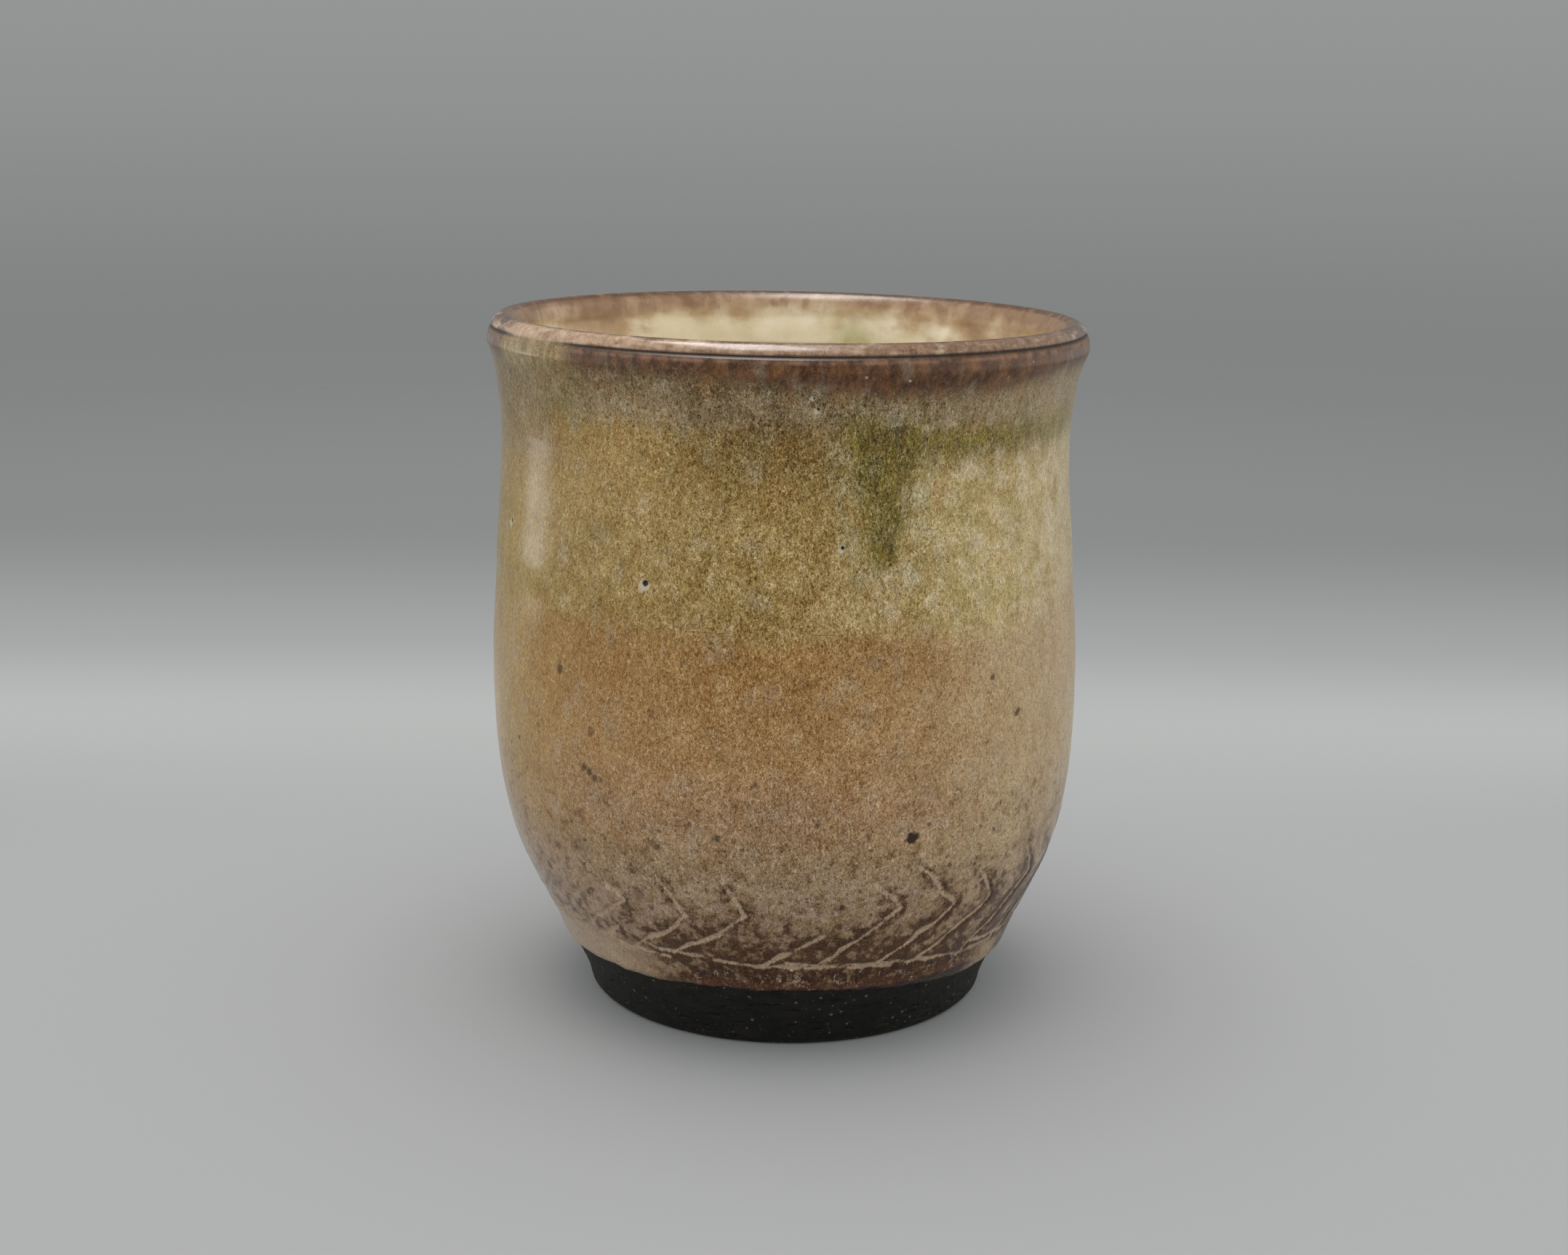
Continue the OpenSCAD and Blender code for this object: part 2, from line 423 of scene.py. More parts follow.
def carving(turn, z):
    """Distance in mm from places on the wall to the nearest carved line."""
    angle = np.radians(turn)
    places = round_axis(angle, HAND_R, z)
    turn = turn + LINE_WANDER / MM_PER_DEGREE * lumps(places, 5)
    z = z + LINE_WANDER * lumps(places + 50, 4)
    gap = np.full(z.shape, CARVED_TOP * 1.0)
    lines = [ring_stroke_line(k) for k in range(RING_STROKES)]
    lines += [stroke_line(k) for k in range(STROKES)]
    lines += [short_stroke_line(*stroke) for stroke in SHORT_STROKES]
    for k, line in enumerate(lines):
        middle = (line[:, 0].min() + line[:, 0].max()) / 2
        close = np.abs((turn[0] - middle + 180) % 360 - 180) < np.ptp(line[:, 0]) / 2 + 6
        worn = 0.9 if k - RING_STROKES in WORN_ARMS else 0.05 * (1 + math.sin(4.1 * k + 0.6))
        faint = worn * smooth(z[:, close], 18, 24) + (RING_STROKE_FAINT if k < RING_STROKES else 0)
        gap[:, close] = np.minimum(gap[:, close], gap_to_line(turn[:, close], z[:, close], line) + faint)
    ragged = 0.3 * np.clip(lumps(places + 99, 2.5), 0, 1) + 0.2 * np.abs(lumps(places + 70, 0.9))
    return gap + ragged


def base_relief(turn, r, z):
    """Carved lines with a low burr beside them, and a rolled wavy edge that hangs over the foot."""
    turn = np.broadcast_to(turn, z.shape)
    gap = np.full(z.shape, CARVED_TOP * 1.0)
    low = z[:, 0] < CARVED_TOP
    gap[low] = carving(turn[low], z[low])
    line = np.exp(-(gap / LINE_HALF_W) ** 2)
    burr = np.exp(-((gap - 2 * LINE_HALF_W) / LINE_HALF_W) ** 2)
    edge_z = z.min()
    angle = np.radians(turn)
    wave = np.sin(5 * angle + 1) + 0.7 * np.sin(13 * angle) + 0.5 * np.sin(31 * angle + 2)
    around = round_axis(angle, HAND_R, 0 * angle)
    drop = EDGE_DROP + EDGE_SIDE_DROP * np.sin(angle) ** 2 + EDGE_TILT * np.sin(angle)
    drop = drop - EDGE_WAVE * wave / 2.2 + EDGE_NIBBLE * lumps(around[:1], 1.6)
    lower_z = z - drop * smooth(z, edge_z + 2.5, edge_z)
    roll = ROLL_SWELL * np.exp(-((z - edge_z - ROLL_H) / ROLL_H) ** 2)
    r = r + radius_at(clay_face, lower_z) - radius_at(clay_face, z)
    r = r - LINE_DEPTH * line + BURR * burr + roll
    return r, lower_z, {"carved": line, "stain": np.exp(-(gap / HALO_W) ** 2)}


def rim_relief(turn, r, z):
    """The fine groove that sets the bead off from the wall."""
    outside = smooth(r, crest_r - 0.7, crest_r + 0.3)
    groove_z = CUP_H - GROOVE_DROP + GROOVE_SWING * np.sin(np.radians(turn))
    kept = 1 - FILLED_SHARE * np.exp(-((turn - FILLED_TURN) / FILLED_HALF_W) ** 4)
    # The groove's share cuts the groove and also carries painted shade into the wall glaze
    share = np.exp(-((z - groove_z) / GROOVE_HALF_W) ** 2) * outside * kept
    # Under the groove: a thin line that carries a painted highlight in the wall glaze
    below = np.exp(-((z - groove_z + 3 * GROOVE_HALF_W) / GROOVE_HALF_W) ** 2) * outside
    bead = smooth(z, groove_z - 0.05, groove_z + 0.25) * outside
    crest = smooth(r, crest_r + 0.65, crest_r + 0.25) * smooth(z, CUP_H - 0.6, CUP_H - 0.3)
    marks = {"groove": share, "below": below, "bead": bead, "inside": 1 - outside, "crest": crest}
    return r - GROOVE_DEPTH * share, z, marks


def pinhole_relief(turn, r, z):
    """Burst bubbles in the glaze: a small pit with a low ring round it."""
    for pit_turn, pit_z, radius in PINHOLES:
        across = (turn - pit_turn) * math.radians(1) * r
        gap = np.hypot(across, z - pit_z) / radius
        r = r - PIT_DEPTH * np.exp(-gap ** 2) + PIT_RING_H * np.exp(-((gap - 2) / 0.8) ** 2)
    return r, z, {}


def foot_relief(turn, r, z):
    """Short level tears and grit in the bare clay."""
    turn = np.broadcast_to(turn, z.shape)
    angle = np.radians(turn)
    places = np.stack([r * np.sin(angle) * 0.35, -r * np.cos(angle) * 0.35, z * 1.6], -1)
    side = smooth(z, 0.1, 0.7) * smooth(r, 0, 4)
    tears = smooth(lumps(places, 0.8), 0.38, 0.62)
    grit = lumps(places * [2.5, 2.5, 0.7], 0.9)
    return r - side * (TEAR_DEPTH * tears - GRIT_H * grit), z, {"tear": tears * side}


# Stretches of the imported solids' sections


def coat_lines(node):
    """An outer coat's face from its lowest point up, and its seat from the top down."""
    line = section(node)
    low, top = line[:, 1].min(), line[:, 1].max()
    face = span(line, corner(line, low, 1), corner(line, top, 1))
    seat = span(line, corner(line, top, -1), corner(line, low, -1))
    return face, seat


def rim_lines():
    """The rim coat's face without its groove, from outside over the crest to inside, and its seat."""
    line = section("rim_glaze")
    outer = corner(line, upper_face[-1, 1], 1)
    inner = corner(line, line[:, 1].min(), -1)
    face = span(line, outer, inner)
    seat = span(line, inner, outer)[1:-1]
    crest, widest = face[:, 1].argmax(), face[:, 0].argmax()
    rise = face[widest:crest + 1][::-1]
    kept = rise[rise[:, 0] >= np.maximum.accumulate(rise[:, 0]) - 0.001]
    return np.concatenate([face[:widest], kept[::-1], face[crest + 1:]]), seat


def clay_line():
    """The thrown clay's outer face, from its lowest point up."""
    line = section("clay_body")
    wall = line[corner(line, line[:, 1].min(), 1):]
    return wall[:wall[:, 1].argmax()]


def liner_lines():
    """The liner's face from the lip down to the axis, and its seat from the axis up."""
    line = section("liner_glaze")
    top = line[:, 1].max()
    return line[corner(line, top, -1):], line[:corner(line, top, 1) + 1]


clay_face = clay_line()
base_face, base_seat = coat_lines("base_glaze")
upper_face, _ = coat_lines("upper_glaze")
rim_face, rim_seat = rim_lines()
liner_face, liner_seat = liner_lines()
crest_r = rim_face[rim_face[:, 1].argmax(), 0]
dip_z, rim_z = upper_face[0, 1], upper_face[-1, 1]
rim_inside_z = rim_face[-1, 1]


def upper_r(z):
    """Radius of the second dip's face, thinned to a skin at both of its edges."""
    base = radius_at(base_face, z)
    full = radius_at(upper_face, z) - base
    pinch = smooth(z, dip_z, dip_z + 3) * smooth(z, rim_z, rim_z - 3)
    return base + SKIN_LIFT + full * pinch


# Pieces


def foot_piece():
    line = section("foot_ring")
    top = line[:, 1].max()
    inner, outer = corner(line, top, -1), corner(line, top, 1)
    visible = traced(span(line, inner, outer), FOOT_STEP, 0.3)
    hidden = traced(line[[outer, inner]], 2)[1:-1]
    mesh = coat_mesh("turned_foot", visible, hidden, FOOT_COLUMNS, foot_relief)
    add_piece("turned_foot", mesh, bare_clay, "foot_ring")


def clay_piece():
    line = section("clay_body")
    low = line[:, 1].min()
    inner, outer = corner(line, low, -1), corner(line, low, 1)
    wall = line[outer:]
    bare_z = np.arange(low, base_face[0, 1] + 1.5, 0.17)
    bare = np.stack([radius_at(clay_face, bare_z), bare_z], 1)
    ceiling = traced(line[:inner + 1], 0.45)
    seat = traced(line[inner:outer + 1], 2)[1:-1]
    covered = wall[np.flatnonzero(wall[:, 1] > bare_z[-1] + 1)[0]:]
    visible = np.concatenate([ceiling, seat, bare])
    mesh = coat_mesh(
        "thrown_clay", visible, traced(covered, HIDDEN_STEP), FOOT_COLUMNS, foot_relief, closed=False
    )
    add_piece("thrown_clay", mesh, bare_clay, "clay_body")


def base_piece():
    carved = base_face[base_face[:, 1] <= CARVED_TOP]
    plain = base_face[(base_face[:, 1] >= carved[-1, 1]) & (base_face[:, 1] <= dip_z + 4)]
    covered = base_face[base_face[:, 1] >= plain[-1, 1]]
    visible = np.concatenate([
        traced(carved, FINE_STEP, 0.5),
        traced(plain, BELLY_STEP, 2)[1:],
        traced(covered, HIDDEN_STEP)[1:],
    ])
    hidden = traced(base_seat, HIDDEN_STEP)[:-1]
    mesh = coat_mesh("base_coat", visible, hidden, WALL_COLUMNS, base_relief)
    add_piece("base_coat", mesh, wall_glaze, "base_glaze")


def upper_piece():
    z = np.append(np.arange(dip_z, rim_z, PLAIN_STEP), rim_z)
    visible = np.stack([upper_r(z), z], 1)
    under = z[::-8]
    hidden = np.stack([radius_at(base_face, under) + SKIN_LIFT / 3, under], 1)
    mesh = coat_mesh("upper_coat", visible, hidden, WALL_COLUMNS, pinhole_relief)
    add_piece("upper_coat", mesh, wall_glaze, "upper_glaze")


def rim_piece():
    z = np.arange(rim_z - RIM_DRAPE, rim_z - 0.2, 0.3)
    apron = np.stack([upper_r(z) + SKIN_LIFT, z], 1)
    inside_z = np.arange(rim_inside_z - 0.3, rim_inside_z - RIM_DRAPE, -0.3)
    inside_r = radius_at(liner_face, inside_z)
    inside = np.stack([inside_r - SKIN_LIFT, inside_z], 1)
    over = rim_face.copy()
    over[:, 0] += np.where(over[:, 0] > crest_r, 2, -1) * SKIN_LIFT
    visible = traced(np.concatenate([apron, over, inside]), RIM_STEP, 0.6)
    tuck_in = np.stack([inside_r - SKIN_LIFT / 3, inside_z], 1)[::-1]
    tuck_out = np.stack([upper_r(z) + SKIN_LIFT / 3, z], 1)[::-1]
    hidden = np.concatenate([tuck_in, traced(rim_seat, 0.8), tuck_out])
    mesh = coat_mesh("rim_coat", visible, hidden, FOOT_COLUMNS, rim_relief)
    add_piece("rim_coat", mesh, wall_glaze, "rim_glaze")


def run_piece():
    """A drop of thick glaze: a thin skin at its edges and upper end, fullest above its tip."""
    lo, hi = [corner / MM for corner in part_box("glaze_run")]
    middle = math.degrees(math.atan2(lo.x + hi.x, -lo.y - hi.y))
    share = np.linspace(0, 1, RUN_ROWS)[:, None]
    z = lo.z + (hi.z - lo.z) * share
    half_w = (hi.x - lo.x) / 2 * np.sin(np.pi * share ** 0.8) ** 0.7 * (0.55 + 0.45 * share)
    across = np.sin(np.linspace(-90, 90, RUN_COLUMNS) * math.pi / 180)[None, :]
    full = 4 * RUN_SWELL * share * (1 - share) * (1.3 - share)
    turn = middle + np.degrees(across * half_w / upper_r(z))
    face_r = upper_r(z) + SKIN_LIFT + full * (1 - across ** 2) ** 1.5
    back_r = upper_r(z) + SKIN_LIFT / 3 + 0 * across
    r = np.concatenate([face_r, back_r[:, ::-1]], 1)
    turn = np.concatenate([turn, turn[:, ::-1]], 1)
    r[0], r[-1] = r[0].mean(), r[-1].mean()
    rings = thrown(turn, r, np.broadcast_to(z, r.shape))
    mesh = turned_mesh("run_drop", rings, np.ones(RUN_ROWS - 1), False, {})
    add_piece("run_drop", mesh, wall_glaze, "glaze_run")


def liner_piece():
    """The liner from the axis up its seat, and from the lip down its face to the axis."""
    seat = traced(liner_seat, HIDDEN_STEP)
    line = np.concatenate([seat, traced(liner_face, LINER_STEP, 1.5)])
    turn = np.broadcast_to(turns(FOOT_COLUMNS), (len(line), FOOT_COLUMNS))
    rings = thrown(turn, line[:, :1] + 0 * turn, line[:, 1:] + 0 * turn)
    steps = np.linalg.norm(np.diff(line, axis=0), axis=1)
    steps[:len(seat)] *= HIDDEN_MAP_SHARE
    mesh = turned_mesh("liner_coat", rings, steps, False, {})
    add_piece("liner_coat", mesh, liner_glaze, "liner_glaze")


# Materials


def colour(hex_text):
    """Linear colour of an sRGB hex code."""
    parts = [int(hex_text[k:k + 2], 16) / 255 for k in (1, 3, 5)]
    return tuple(c / 12.92 if c < 0.04045 else ((c + 0.055) / 1.055) ** 2.4 for c in parts) + (1.0,)


class Nodes:
    """Short ways to add nodes to a tree."""

    def __init__(self, tree):
        self.tree = tree

    def node(self, kind):
        return self.tree.nodes.new(kind)

    def put(self, socket, value):
        """Links a value to a socket, or sets the socket to it."""
        if isinstance(value, bpy.types.NodeSocket):
            self.tree.links.new(value, socket)
        else:
            socket.default_value = value

    def math(self, operation, *values):
        made = self.node("ShaderNodeMath")
        made.operation = operation
        for socket, value in zip(made.inputs, values):
            self.put(socket, value)
        return made.outputs[0]

    def vector(self, operation, *values):
        made = self.node("ShaderNodeVectorMath")
        made.operation = operation
        for socket, value in zip(made.inputs, values):
            self.put(socket, value)
        return made.outputs[0]

    def product(self, *values):
        made = values[0]
        for value in values[1:]:
            made = self.math("MULTIPLY", made, value)
        return made

    def plus(self, base, value, times):
        """A base with so many times a value added to it."""
        return self.math("MULTIPLY_ADD", value, times, base)

    def most(self, one, other):
        return self.math("MAXIMUM", one, other)

    def shifted(self, value, by, wave):
        """A value moved up to half of by each way by a wave from 0 to 1."""
        return self.plus(value, self.math("SUBTRACT", wave, 0.5), by)

    def fade(self, value, start, end):
        """0 at start, 1 at end and an even S between them."""
        made = self.node("ShaderNodeMapRange")
        made.interpolation_type = "SMOOTHSTEP"
        self.put(made.inputs["Value"], value)
        self.put(made.inputs["From Min"], start)
        self.put(made.inputs["From Max"], end)
        return made.outputs["Result"]

    def hill(self, value, centre, half_width):
        """1 at the centre, fading to 0 at half a width each way."""
        gap = self.math("ABSOLUTE", self.math("SUBTRACT", value, centre))
        return self.fade(gap, half_width, 0.0)

    def mix(self, under, over, *shares):
        """One colour laid over another by the product of some shares."""
        made = self.node("ShaderNodeMix")
        made.data_type = "RGBA"
        self.put(made.inputs[0], self.product(*shares))
        for socket, value in zip(made.inputs[6:8], (under, over)):
            self.put(socket, colour(value) if isinstance(value, str) else value)
        return made.outputs[2]


class Finish(Nodes):
    """A material whose colours are worked out from places on the cup. Its turns run from -90 at
    the left to 90 at the right, the same in front and behind."""

    def __init__(self, name):
        self.material = bpy.data.materials.new(name)
        self.material.use_nodes = True
        super().__init__(self.material.node_tree)
        self.shader = self.tree.nodes["Principled BSDF"]
        local = self.node("ShaderNodeTexCoord").outputs["Object"]
        self.place = self.vector("MULTIPLY", local, (1 / MM,) * 3)
        parts = self.node("ShaderNodeSeparateXYZ")
        self.put(parts.inputs[0], self.place)
        self.x, self.y, self.z = parts.outputs
        squares = [self.math("MULTIPLY", side, side) for side in (self.x, self.y)]
        self.r = self.math("SQRT", self.math("ADD", *squares))
        side = self.math("ARCSINE", self.math("DIVIDE", self.x, self.r))
        self.turn = self.math("MULTIPLY", side, 180 / math.pi)
        self.front = self.fade(self.y, 4, -4)

    def noise(self, size, tall=1.0, detail=2.0, twist=0.0, shift=0.0):
        """Noise from about 0 to 1 with lumps of the given size, drawn out along the height."""
        scaled = self.vector("MULTIPLY_ADD", self.place, (1 / size, 1 / size, 1 / size / tall), (shift,) * 3)
        made = self.node("ShaderNodeTexNoise")
        self.put(made.inputs["Vector"], scaled)
        made.inputs["Scale"].default_value = 1.0
        made.inputs["Detail"].default_value = detail
        made.inputs["Distortion"].default_value = twist
        return made.outputs["Fac"]

    def noise_colour(self, size):
        """Three noises from about 0 to 1 in one vector."""
        made = self.node("ShaderNodeTexNoise")
        self.put(made.inputs["Vector"], self.vector("MULTIPLY", self.place, (1 / size,) * 3))
        made.inputs["Scale"].default_value = 1.0
        return made.outputs["Color"]

    def spots(self, place, spacing, radius, share, shift=0.0):
        """Round spots on a loose grid: 1 inside a spot. Only a share of the grid holds one."""
        scaled = self.vector("MULTIPLY_ADD", place, (1 / spacing,) * 3, (shift,) * 3)
        made = self.node("ShaderNodeTexVoronoi")
        self.put(made.inputs["Vector"], scaled)
        made.inputs["Scale"].default_value = 1.0
        lot = self.node("ShaderNodeSeparateColor")
        self.put(lot.inputs[0], made.outputs["Color"])
        size = self.plus(radius / spacing * 0.5, lot.outputs[1], radius / spacing)
        gap = self.math("SUBTRACT", made.outputs["Distance"], size)
        round_spot = self.fade(gap, 0.05, -0.05)
        return self.product(round_spot, self.math("LESS_THAN", lot.outputs[0], share))

    def dot(self, turn, z, radius, place, core=0.6):
        """1 in the core of a spot on the wall in front, fading to 0 at its radius."""
        angle = math.radians(turn)
        r = float(upper_r(z) if z > dip_z else radius_at(base_face, z))
        sway = SWAY * math.cos(2 * math.pi * z / SWAY_PERIOD)
        point = (r * math.sin(angle) + sway, -r * math.cos(angle), z)
        made = self.node("ShaderNodeVectorMath")
        made.operation = "DISTANCE"
        self.put(made.inputs[0], place)
        self.put(made.inputs[1], point)
        return self.fade(made.outputs["Value"], radius, radius * core)

    def mark(self, name):
        """A value that rides on the mesh's points."""
        made = self.node("ShaderNodeAttribute")
        made.attribute_name = name
        return made.outputs["Fac"]

    def shaded(self, paint, step):
        """Paint lightened or darkened by a step that is alike in each of its sRGB channels."""
        seen = self.node("ShaderNodeGamma")
        self.put(seen.inputs["Color"], paint)
        seen.inputs["Gamma"].default_value = 1 / SRGB_GAMMA
        moved = self.vector("MAXIMUM", self.vector("ADD", seen.outputs[0], step), (0.02,) * 3)
        made = self.node("ShaderNodeGamma")
        self.put(made.inputs["Color"], moved)
        made.inputs["Gamma"].default_value = SRGB_GAMMA
        return made.outputs[0]

    def bump(self, height, depth):
        """Fine relief of the given depth in mm."""
        made = self.node("ShaderNodeBump")
        made.inputs["Strength"].default_value = 1.0
        made.inputs["Distance"].default_value = depth * MM
        self.put(made.inputs["Height"], height)
        return made.outputs["Normal"]

    def fill(self, **values):
        """Sets the shader's sockets by name, with spaces written as underscores."""
        for name, value in values.items():
            self.put(self.shader.inputs[name.replace("_", " ")], value)
        return self.material


def wall_glaze_material():
    """The fired coats outside: stained tan below, gold over it, brown and olive at the lip."""
    m = Finish("wall_glaze")
    m.broad = m.noise(12, detail=2)
    m.cloud = m.noise(4.5, tall=1.2, detail=3, shift=7)
    m.mottle = m.noise(1.6, tall=1.3, detail=3, shift=3)
    m.fleck = m.noise(0.75, tall=1.4, detail=2, twist=0.8, shift=17)
    m.streak = m.noise(0.9, tall=4, detail=3, shift=11)
    m.needle = m.noise(0.38, tall=2.2, detail=2, twist=1.0, shift=23)
    m.grain = m.noise(0.26, tall=1.5, detail=1, twist=1.4)
    m.wavy_z = m.shifted(m.shifted(m.z, 3.0, m.cloud), 1.4, m.mottle)
    m.wavy_turn = m.shifted(m.shifted(m.turn, 14, m.broad), 6, m.mottle)
    paint = base_paint(m)
    coats = (dip_paint, haze_paint, green_paint, band_paint, carved_paint)
    for coat in coats + (grain_paint, speck_paint, bead_paint):
        paint = coat(m, paint)
    paint = m.mix(paint, inside_paint(m), m.mark("inside"))
    paint = m.mix(paint, "#4b3323", m.mark("crest"), m.fade(m.mottle, 0.3, 0.55), 0.65)
    rough = m.plus(0.22, m.grain, 0.14)
    dull = m.math("ADD", m.mark("groove"), m.mark("below"))
    rough = m.plus(rough, dull, 0.3)
    sleek = m.most(m.mark("bead"), m.fade(m.turn, -38, -54))
    return m.fill(
        Base_Color=paint,
        Roughness=m.plus(rough, sleek, -0.08),
        Normal=m.bump(m.product(m.grain, m.math("SUBTRACT", 1.0, sleek)), 0.018),
        Specular_IOR_Level=0.45,
    )


def base_paint(m):
    """The base coat: pinkish tan, warmer under the edge of the second dip, paler on the flanks."""
    paint = m.mix("#9f8461", "#a4815a", m.fade(m.wavy_z, 24, 36))
    paint = m.mix(paint, "#a58050", m.fade(m.wavy_z, 33, 42))
    paint = m.mix(paint, "#9b733a", m.fade(m.wavy_z, 43, 53), 0.85)
    paint = m.mix(paint, "#bca37b", m.fade(m.wavy_turn, 6, 58), 0.85)
    return m.mix(paint, "#a98b50", m.fade(m.wavy_turn, -36, -66), m.fade(m.wavy_z, 22, 36), 0.85)


def dip_paint(m, paint):
    """The second dip: gold, more olive towards the lip, paler left and creamy right."""
    gold = m.mix("#9b7f42", "#a78c55", m.fade(m.mottle, 0.4, 0.7))
    gold = m.mix(gold, "#806630", m.fade(m.wavy_z, 68, 77), 0.85)
    gold = m.mix(gold, "#aa8b4e", m.fade(m.wavy_turn, -12, -28), m.fade(m.wavy_z, 66, 73), 0.75)
    gold = m.mix(gold, "#bca670", m.fade(m.wavy_turn, 8, 42), m.fade(m.wavy_z, 79, 72))
    gold = m.mix(gold, "#c4b189", m.fade(m.wavy_turn, 46, 66), 0.75)
    left = m.product(m.fade(m.wavy_turn, -38, -64), m.fade(m.wavy_z, 76, 68))
    gold = m.mix(gold, "#a38743", left, 0.85)
    gold = m.mix(gold, "#8b7242", m.fade(m.wavy_turn, -42, -58), m.fade(m.wavy_z, 71, 76), 0.85)
    pale = m.product(m.hill(m.wavy_turn, 15, 16), m.hill(m.wavy_z, 58, 6))
    gold = m.mix(gold, "#b99f6c", pale, 0.7)
    frost = m.noise(2.8, tall=0.9, detail=5, shift=45)
    right = m.product(m.fade(m.wavy_turn, 8, 24), m.fade(m.wavy_turn, 88, 60))
    gold = m.mix(gold, "#a18a48", m.fade(frost, 0.5, 0.34), right, 0.6)
    gold = m.mix(gold, "#cfbe9a", m.fade(frost, 0.5, 0.64), right, 0.6)
    return m.mix(paint, gold, m.fade(m.shifted(m.shifted(m.wavy_z, 2.5, m.streak), 4, m.broad), 52.6, 58.4))


def haze_paint(m, paint):
    """A grey-olive haze of fine crystals between the gold and the brown."""
    haze = m.fade(m.shifted(m.z, 4, m.streak), 78, 82)
    grey = m.mix("#6b5737", "#86704d", m.fade(m.mottle, 0.35, 0.65))
    grey = m.mix(grey, "#988361", m.fade(m.wavy_turn, -8, -24), m.fade(m.z, 86, 80), 0.85)
    grey = m.mix(grey, "#998563", m.fade(m.wavy_turn, 18, 48), 0.85)
    grey = m.mix(grey, "#806b3f", m.fade(m.wavy_turn, -42, -56), 0.85)
    paint = m.mix(paint, grey, haze, 0.9)
    rime = m.product(m.hill(m.shifted(m.z, 3, m.streak), 81, 2.6), m.fade(m.wavy_turn, 4, 14))
    paint = m.mix(paint, "#9d8e6c", rime, m.fade(m.fleck, 0.35, 0.6), 0.55)
    strokes = m.product(m.fade(m.needle, 0.54, 0.7), haze, 0.45)
    paint = m.mix(paint, "#a5967a", strokes)
    return m.mix(paint, "#33281a", m.fade(m.grain, 0.42, 0.28), haze, 0.35)


def green_paint(m, paint):
    """Olive where the glaze ran and pooled: brown in its middle, pale crystal strokes at its edges."""
    gap = m.math("ABSOLUTE", m.math("SUBTRACT", m.shifted(m.turn, 5, m.mottle), 17.8))
    half = m.plus(3.6, m.math("SUBTRACT", m.z, 65), 0.28)
    near = m.math("SUBTRACT", gap, half)
    length = m.product(m.fade(m.wavy_z, 61.8, 65.0), m.fade(m.wavy_z, 83, 79.5), m.front)
    run = m.product(m.fade(near, 1.8, -2.8), length)
    droop = m.plus(77.0, m.turn, 0.015)
    pool = m.hill(m.shifted(m.wavy_z, 2.5, m.streak), droop, 3.4)
    pool = m.product(pool, m.fade(m.wavy_turn, 6, 16), m.plus(1.0, m.fade(m.wavy_turn, 56, 80), -0.4))
    side_pool = m.product(m.hill(m.wavy_z, 81.5, 5), m.hill(m.wavy_turn, -46, 11), 0.7)
    green = m.most(run, m.product(m.most(pool, side_pool), 0.85))
    halo = m.product(m.hill(near, 2.0, 4.0), m.fade(m.wavy_z, 59.5, 62.5), m.fade(m.wavy_z, 80, 77), m.front)
    paint = m.mix(paint, "#a69d74", halo, m.fade(m.fleck, 0.35, 0.6), 0.55)
    tone = m.mix("#7d6e20", "#67580c", m.fade(m.streak, 0.35, 0.7))
    tone = m.mix(tone, "#544200", m.fade(near, -1.0, -5.0), length, m.fade(m.cloud, 0.4, 0.6), 0.85)
    paint = m.mix(paint, tone, green, m.plus(0.65, m.fleck, 0.6))
    strokes = m.product(m.fade(m.needle, 0.5, 0.68), m.fade(green, 0.1, 0.6), m.fade(m.mottle, 0.35, 0.6))
    return m.mix(paint, "#9c9466", strokes, 0.5)


def band_paint(m, paint):
    """The brown band under the bead: deeper on the right, missing in a gap on the left."""
    edge = m.plus(86.2, m.fade(m.turn, -25, 25), -2.2)
    edge = m.plus(edge, m.fade(m.turn, 38, 64), 1.1)
    lower = m.math("SUBTRACT", m.shifted(m.shifted(m.z, 2.4, m.streak), 1.6, m.mottle), edge)
    gap = m.most(m.fade(m.wavy_turn, -44, -39), m.fade(m.wavy_turn, -64, -70))
    m.band = m.product(m.fade(lower, -1.6, 0.9), gap)
    brown = m.mix("#422209", "#6b4526", m.fade(m.shifted(m.mottle, 0.5, m.streak), 0.35, 0.7))
    brown = m.mix(brown, "#84603c", m.fade(m.streak, 0.5, 0.75), m.fade(m.turn, -20, 60), 0.6)
    brown = m.mix(brown, "#57330f", m.fade(m.math("ABSOLUTE", m.turn), 48, 64), 0.7)
    flow = m.mix("#837044", "#a38c5f", m.fade(m.streak, 0.4, 0.65))
    paint = m.mix(paint, flow, m.fade(m.z, 84, 86), m.math("SUBTRACT", 1.0, gap))
    paint = m.mix(paint, brown, m.band, 0.95)
    return m.mix(paint, "#c9b7a0", m.spots(m.place, 1.7, 0.12, 0.16, shift=2), m.band, 0.7)


